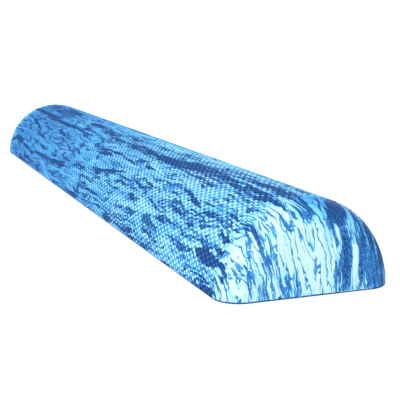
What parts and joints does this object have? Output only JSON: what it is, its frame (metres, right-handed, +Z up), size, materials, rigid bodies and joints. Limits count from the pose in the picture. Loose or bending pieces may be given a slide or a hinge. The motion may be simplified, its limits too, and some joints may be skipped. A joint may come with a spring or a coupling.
{
  "type": "half round foam roller",
  "caption": "Long half round exercise roller of marbled closed-cell foam, flat underneath, embossed on its round side and smooth and rounded at the ends.",
  "frame": {"origin": "middle of the flat base, on the surface that it rests on", "axes": "+X along the length towards the end that faces the viewer in the picture, +Y across the width, +Z up from the flat base to the crest of the round side"},
  "size_m": [0.9144, 0.1524, 0.0762],
  "materials": {
    "marbled_eva_foam": "matte closed-cell EVA foam, marbled in pale and navy blue along the length, finely embossed on the round side and smooth at the ends"
  },
  "bodies": {
    "root": {"foam_body": "marbled_eva_foam"}
  },
  "joints": []
}
